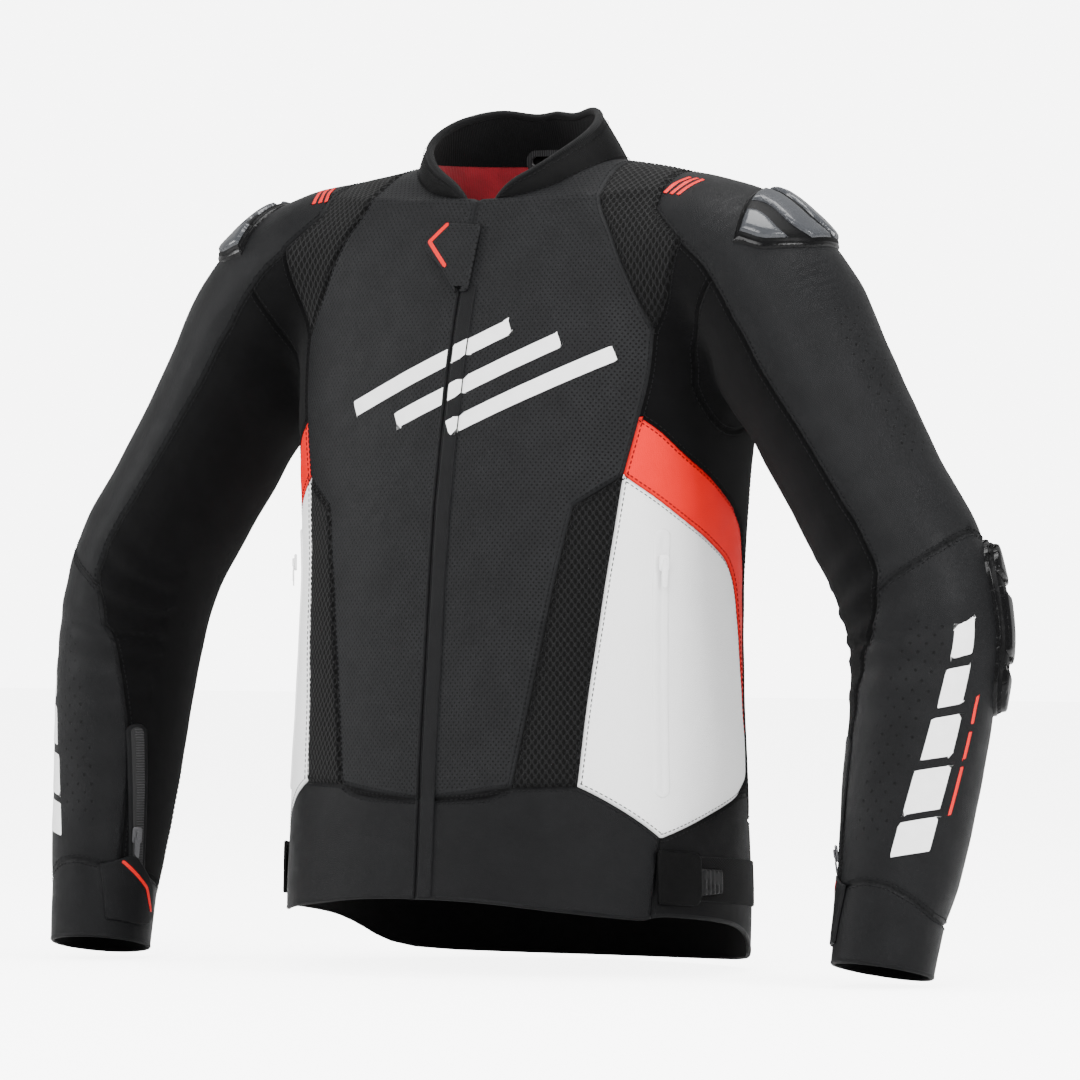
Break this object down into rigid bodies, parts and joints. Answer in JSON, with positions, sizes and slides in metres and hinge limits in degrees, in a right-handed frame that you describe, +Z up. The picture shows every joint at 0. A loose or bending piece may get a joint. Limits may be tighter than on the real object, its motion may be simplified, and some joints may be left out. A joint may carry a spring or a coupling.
{
  "type": "leather riding jacket",
  "caption": "Zipped leather motorcycle jacket with stand collar, hard shoulder and elbow sliders, mesh and stretch panels, bending sleeves and working zips and straps.",
  "frame": {"origin": "centre of the neck base, where the jacket hangs", "axes": "+X to the wearer's left, across both sleeves; front faces -Y; +Z up"},
  "size_m": [0.9108, 0.3196, 0.697],
  "materials": {
    "black_leather": "satin",
    "perforated_leather": "satin",
    "white_leather": "satin",
    "red_leather": "satin",
    "stretch_fabric": "matte",
    "spacer_mesh": "matte",
    "lining": "matte",
    "collar_knit": "matte",
    "slider_plastic": "gloss",
    "zip_plastic": "matte",
    "zip_metal": "satin",
    "hook_and_loop": "matte",
    "armour_foam": "matte"
  },
  "bodies": {
    "torso": {"torso_lining": "lining", "back_panel": "black_leather", "tail_panel": "stretch_fabric", "front_placket": "black_leather", "collar": "black_leather", "collar_lining": "collar_knit", "back_protector": "armour_foam", "front_zip_chain": "zip_plastic", "pocket_zips": "white_leather", "waist_belts": "hook_and_loop", "waist_connection_zip": "zip_plastic", "hanger_loop": "hook_and_loop", "front_panel_left": "perforated_leather", "front_panel_right": "perforated_leather", "shoulder_mesh_left": "spacer_mesh", "shoulder_mesh_right": "spacer_mesh", "shoulder_yoke_left": "black_leather", "shoulder_yoke_right": "black_leather", "armhole_panel_left": "stretch_fabric", "armhole_panel_right": "stretch_fabric", "side_band_left": "red_leather", "side_band_right": "red_leather", "side_panel_left": "white_leather", "side_panel_right": "white_leather", "flank_mesh_left": "spacer_mesh", "flank_mesh_right": "spacer_mesh", "waist_panel_left": "black_leather", "waist_panel_right": "black_leather", "armhole_gusset_left": "stretch_fabric", "armhole_gusset_right": "stretch_fabric"},
    "upper_arm_left": {"upper_sleeve_left": "black_leather", "upper_sleeve_stretch_left": "stretch_fabric", "shoulder_slider_left": "slider_plastic", "shoulder_pad_left": "armour_foam", "elbow_gusset_left": "stretch_fabric"},
    "forearm_left": {"forearm_sleeve_left": "black_leather", "forearm_stretch_left": "stretch_fabric", "cuff_left": "black_leather", "elbow_slider_left": "slider_plastic", "elbow_pad_left": "armour_foam"},
    "cuff_tab_left": {"cuff_tab_left": "black_leather"},
    "cuff_zip_slider_left": {"cuff_zip_slider_left": "zip_metal"},
    "pocket_zip_slider_left": {"pocket_zip_slider_left": "zip_metal"},
    "waist_strap_left": {"waist_strap_left": "black_leather"},
    "upper_arm_right": {"upper_sleeve_right": "black_leather", "upper_sleeve_stretch_right": "stretch_fabric", "shoulder_slider_right": "slider_plastic", "shoulder_pad_right": "armour_foam", "elbow_gusset_right": "stretch_fabric"},
    "forearm_right": {"forearm_sleeve_right": "black_leather", "forearm_stretch_right": "stretch_fabric", "cuff_right": "black_leather", "elbow_slider_right": "slider_plastic", "elbow_pad_right": "armour_foam"},
    "cuff_tab_right": {"cuff_tab_right": "black_leather"},
    "cuff_zip_slider_right": {"cuff_zip_slider_right": "zip_metal"},
    "pocket_zip_slider_right": {"pocket_zip_slider_right": "zip_metal"},
    "waist_strap_right": {"waist_strap_right": "black_leather"},
    "front_zip_slider": {"front_zip_slider": "zip_metal"},
    "throat_flap": {"throat_flap": "black_leather"}
  },
  "joints": [
    {"name": "shoulder_left", "type": "hinge", "parent": "torso", "child": "upper_arm_left", "pos_m": [0.228, 0.005, -0.09], "axis": [0, -1, 0], "range_deg": [0, 15], "deforming": ["armhole_gusset_left"]},
    {"name": "elbow_left", "type": "hinge", "parent": "upper_arm_left", "child": "forearm_left", "pos_m": [0.38, -0.009, -0.365], "axis": [-0.3769, 0.9109, -0.168], "range_deg": [0, 28], "deforming": ["elbow_gusset_left"]},
    {"name": "cuff_tab_left", "type": "hinge", "parent": "forearm_left", "child": "cuff_tab_left", "pos_m": [0.357, -0.097, -0.6], "axis": [0.05, 0.22, 0.9742], "range_deg": [0, 60]},
    {"name": "cuff_zip_left", "type": "slide", "parent": "forearm_left", "child": "cuff_zip_slider_left", "axis": [0.0399, 0.0499, 0.998], "range_m": [0, 0.075]},
    {"name": "pocket_zip_left", "type": "slide", "parent": "torso", "child": "pocket_zip_slider_left", "axis": [0.015, -0.03, -0.9994], "range_m": [0, 0.16]},
    {"name": "waist_strap_left", "type": "hinge", "parent": "torso", "child": "waist_strap_left", "pos_m": [0.178, -0.082, -0.58], "axis": [0, 0, -1], "range_deg": [0, 45]},
    {"name": "shoulder_right", "type": "hinge", "parent": "torso", "child": "upper_arm_right", "pos_m": [-0.228, 0.005, -0.09], "axis": [0, 1, 0], "range_deg": [0, 15], "deforming": ["armhole_gusset_right"]},
    {"name": "elbow_right", "type": "hinge", "parent": "upper_arm_right", "child": "forearm_right", "pos_m": [-0.38, -0.009, -0.365], "axis": [-0.3769, -0.9109, 0.168], "range_deg": [0, 28], "deforming": ["elbow_gusset_right"]},
    {"name": "cuff_tab_right", "type": "hinge", "parent": "forearm_right", "child": "cuff_tab_right", "pos_m": [-0.357, -0.097, -0.6], "axis": [0.05, -0.22, -0.9742], "range_deg": [0, 60]},
    {"name": "cuff_zip_right", "type": "slide", "parent": "forearm_right", "child": "cuff_zip_slider_right", "axis": [-0.0399, 0.0499, 0.998], "range_m": [0, 0.075]},
    {"name": "pocket_zip_right", "type": "slide", "parent": "torso", "child": "pocket_zip_slider_right", "axis": [-0.015, -0.03, -0.9994], "range_m": [0, 0.16]},
    {"name": "waist_strap_right", "type": "hinge", "parent": "torso", "child": "waist_strap_right", "pos_m": [-0.178, -0.082, -0.58], "axis": [0, 0, 1], "range_deg": [0, 45]},
    {"name": "front_zip", "type": "slide", "parent": "torso", "child": "front_zip_slider", "axis": [0, -0.1395, -0.9902], "range_m": [0, 0.46]},
    {"name": "throat_flap", "type": "hinge", "parent": "torso", "child": "throat_flap", "pos_m": [0.015, -0.086, -0.084], "axis": [0, 0.5, 0.866], "range_deg": [0, 45]}
  ]
}
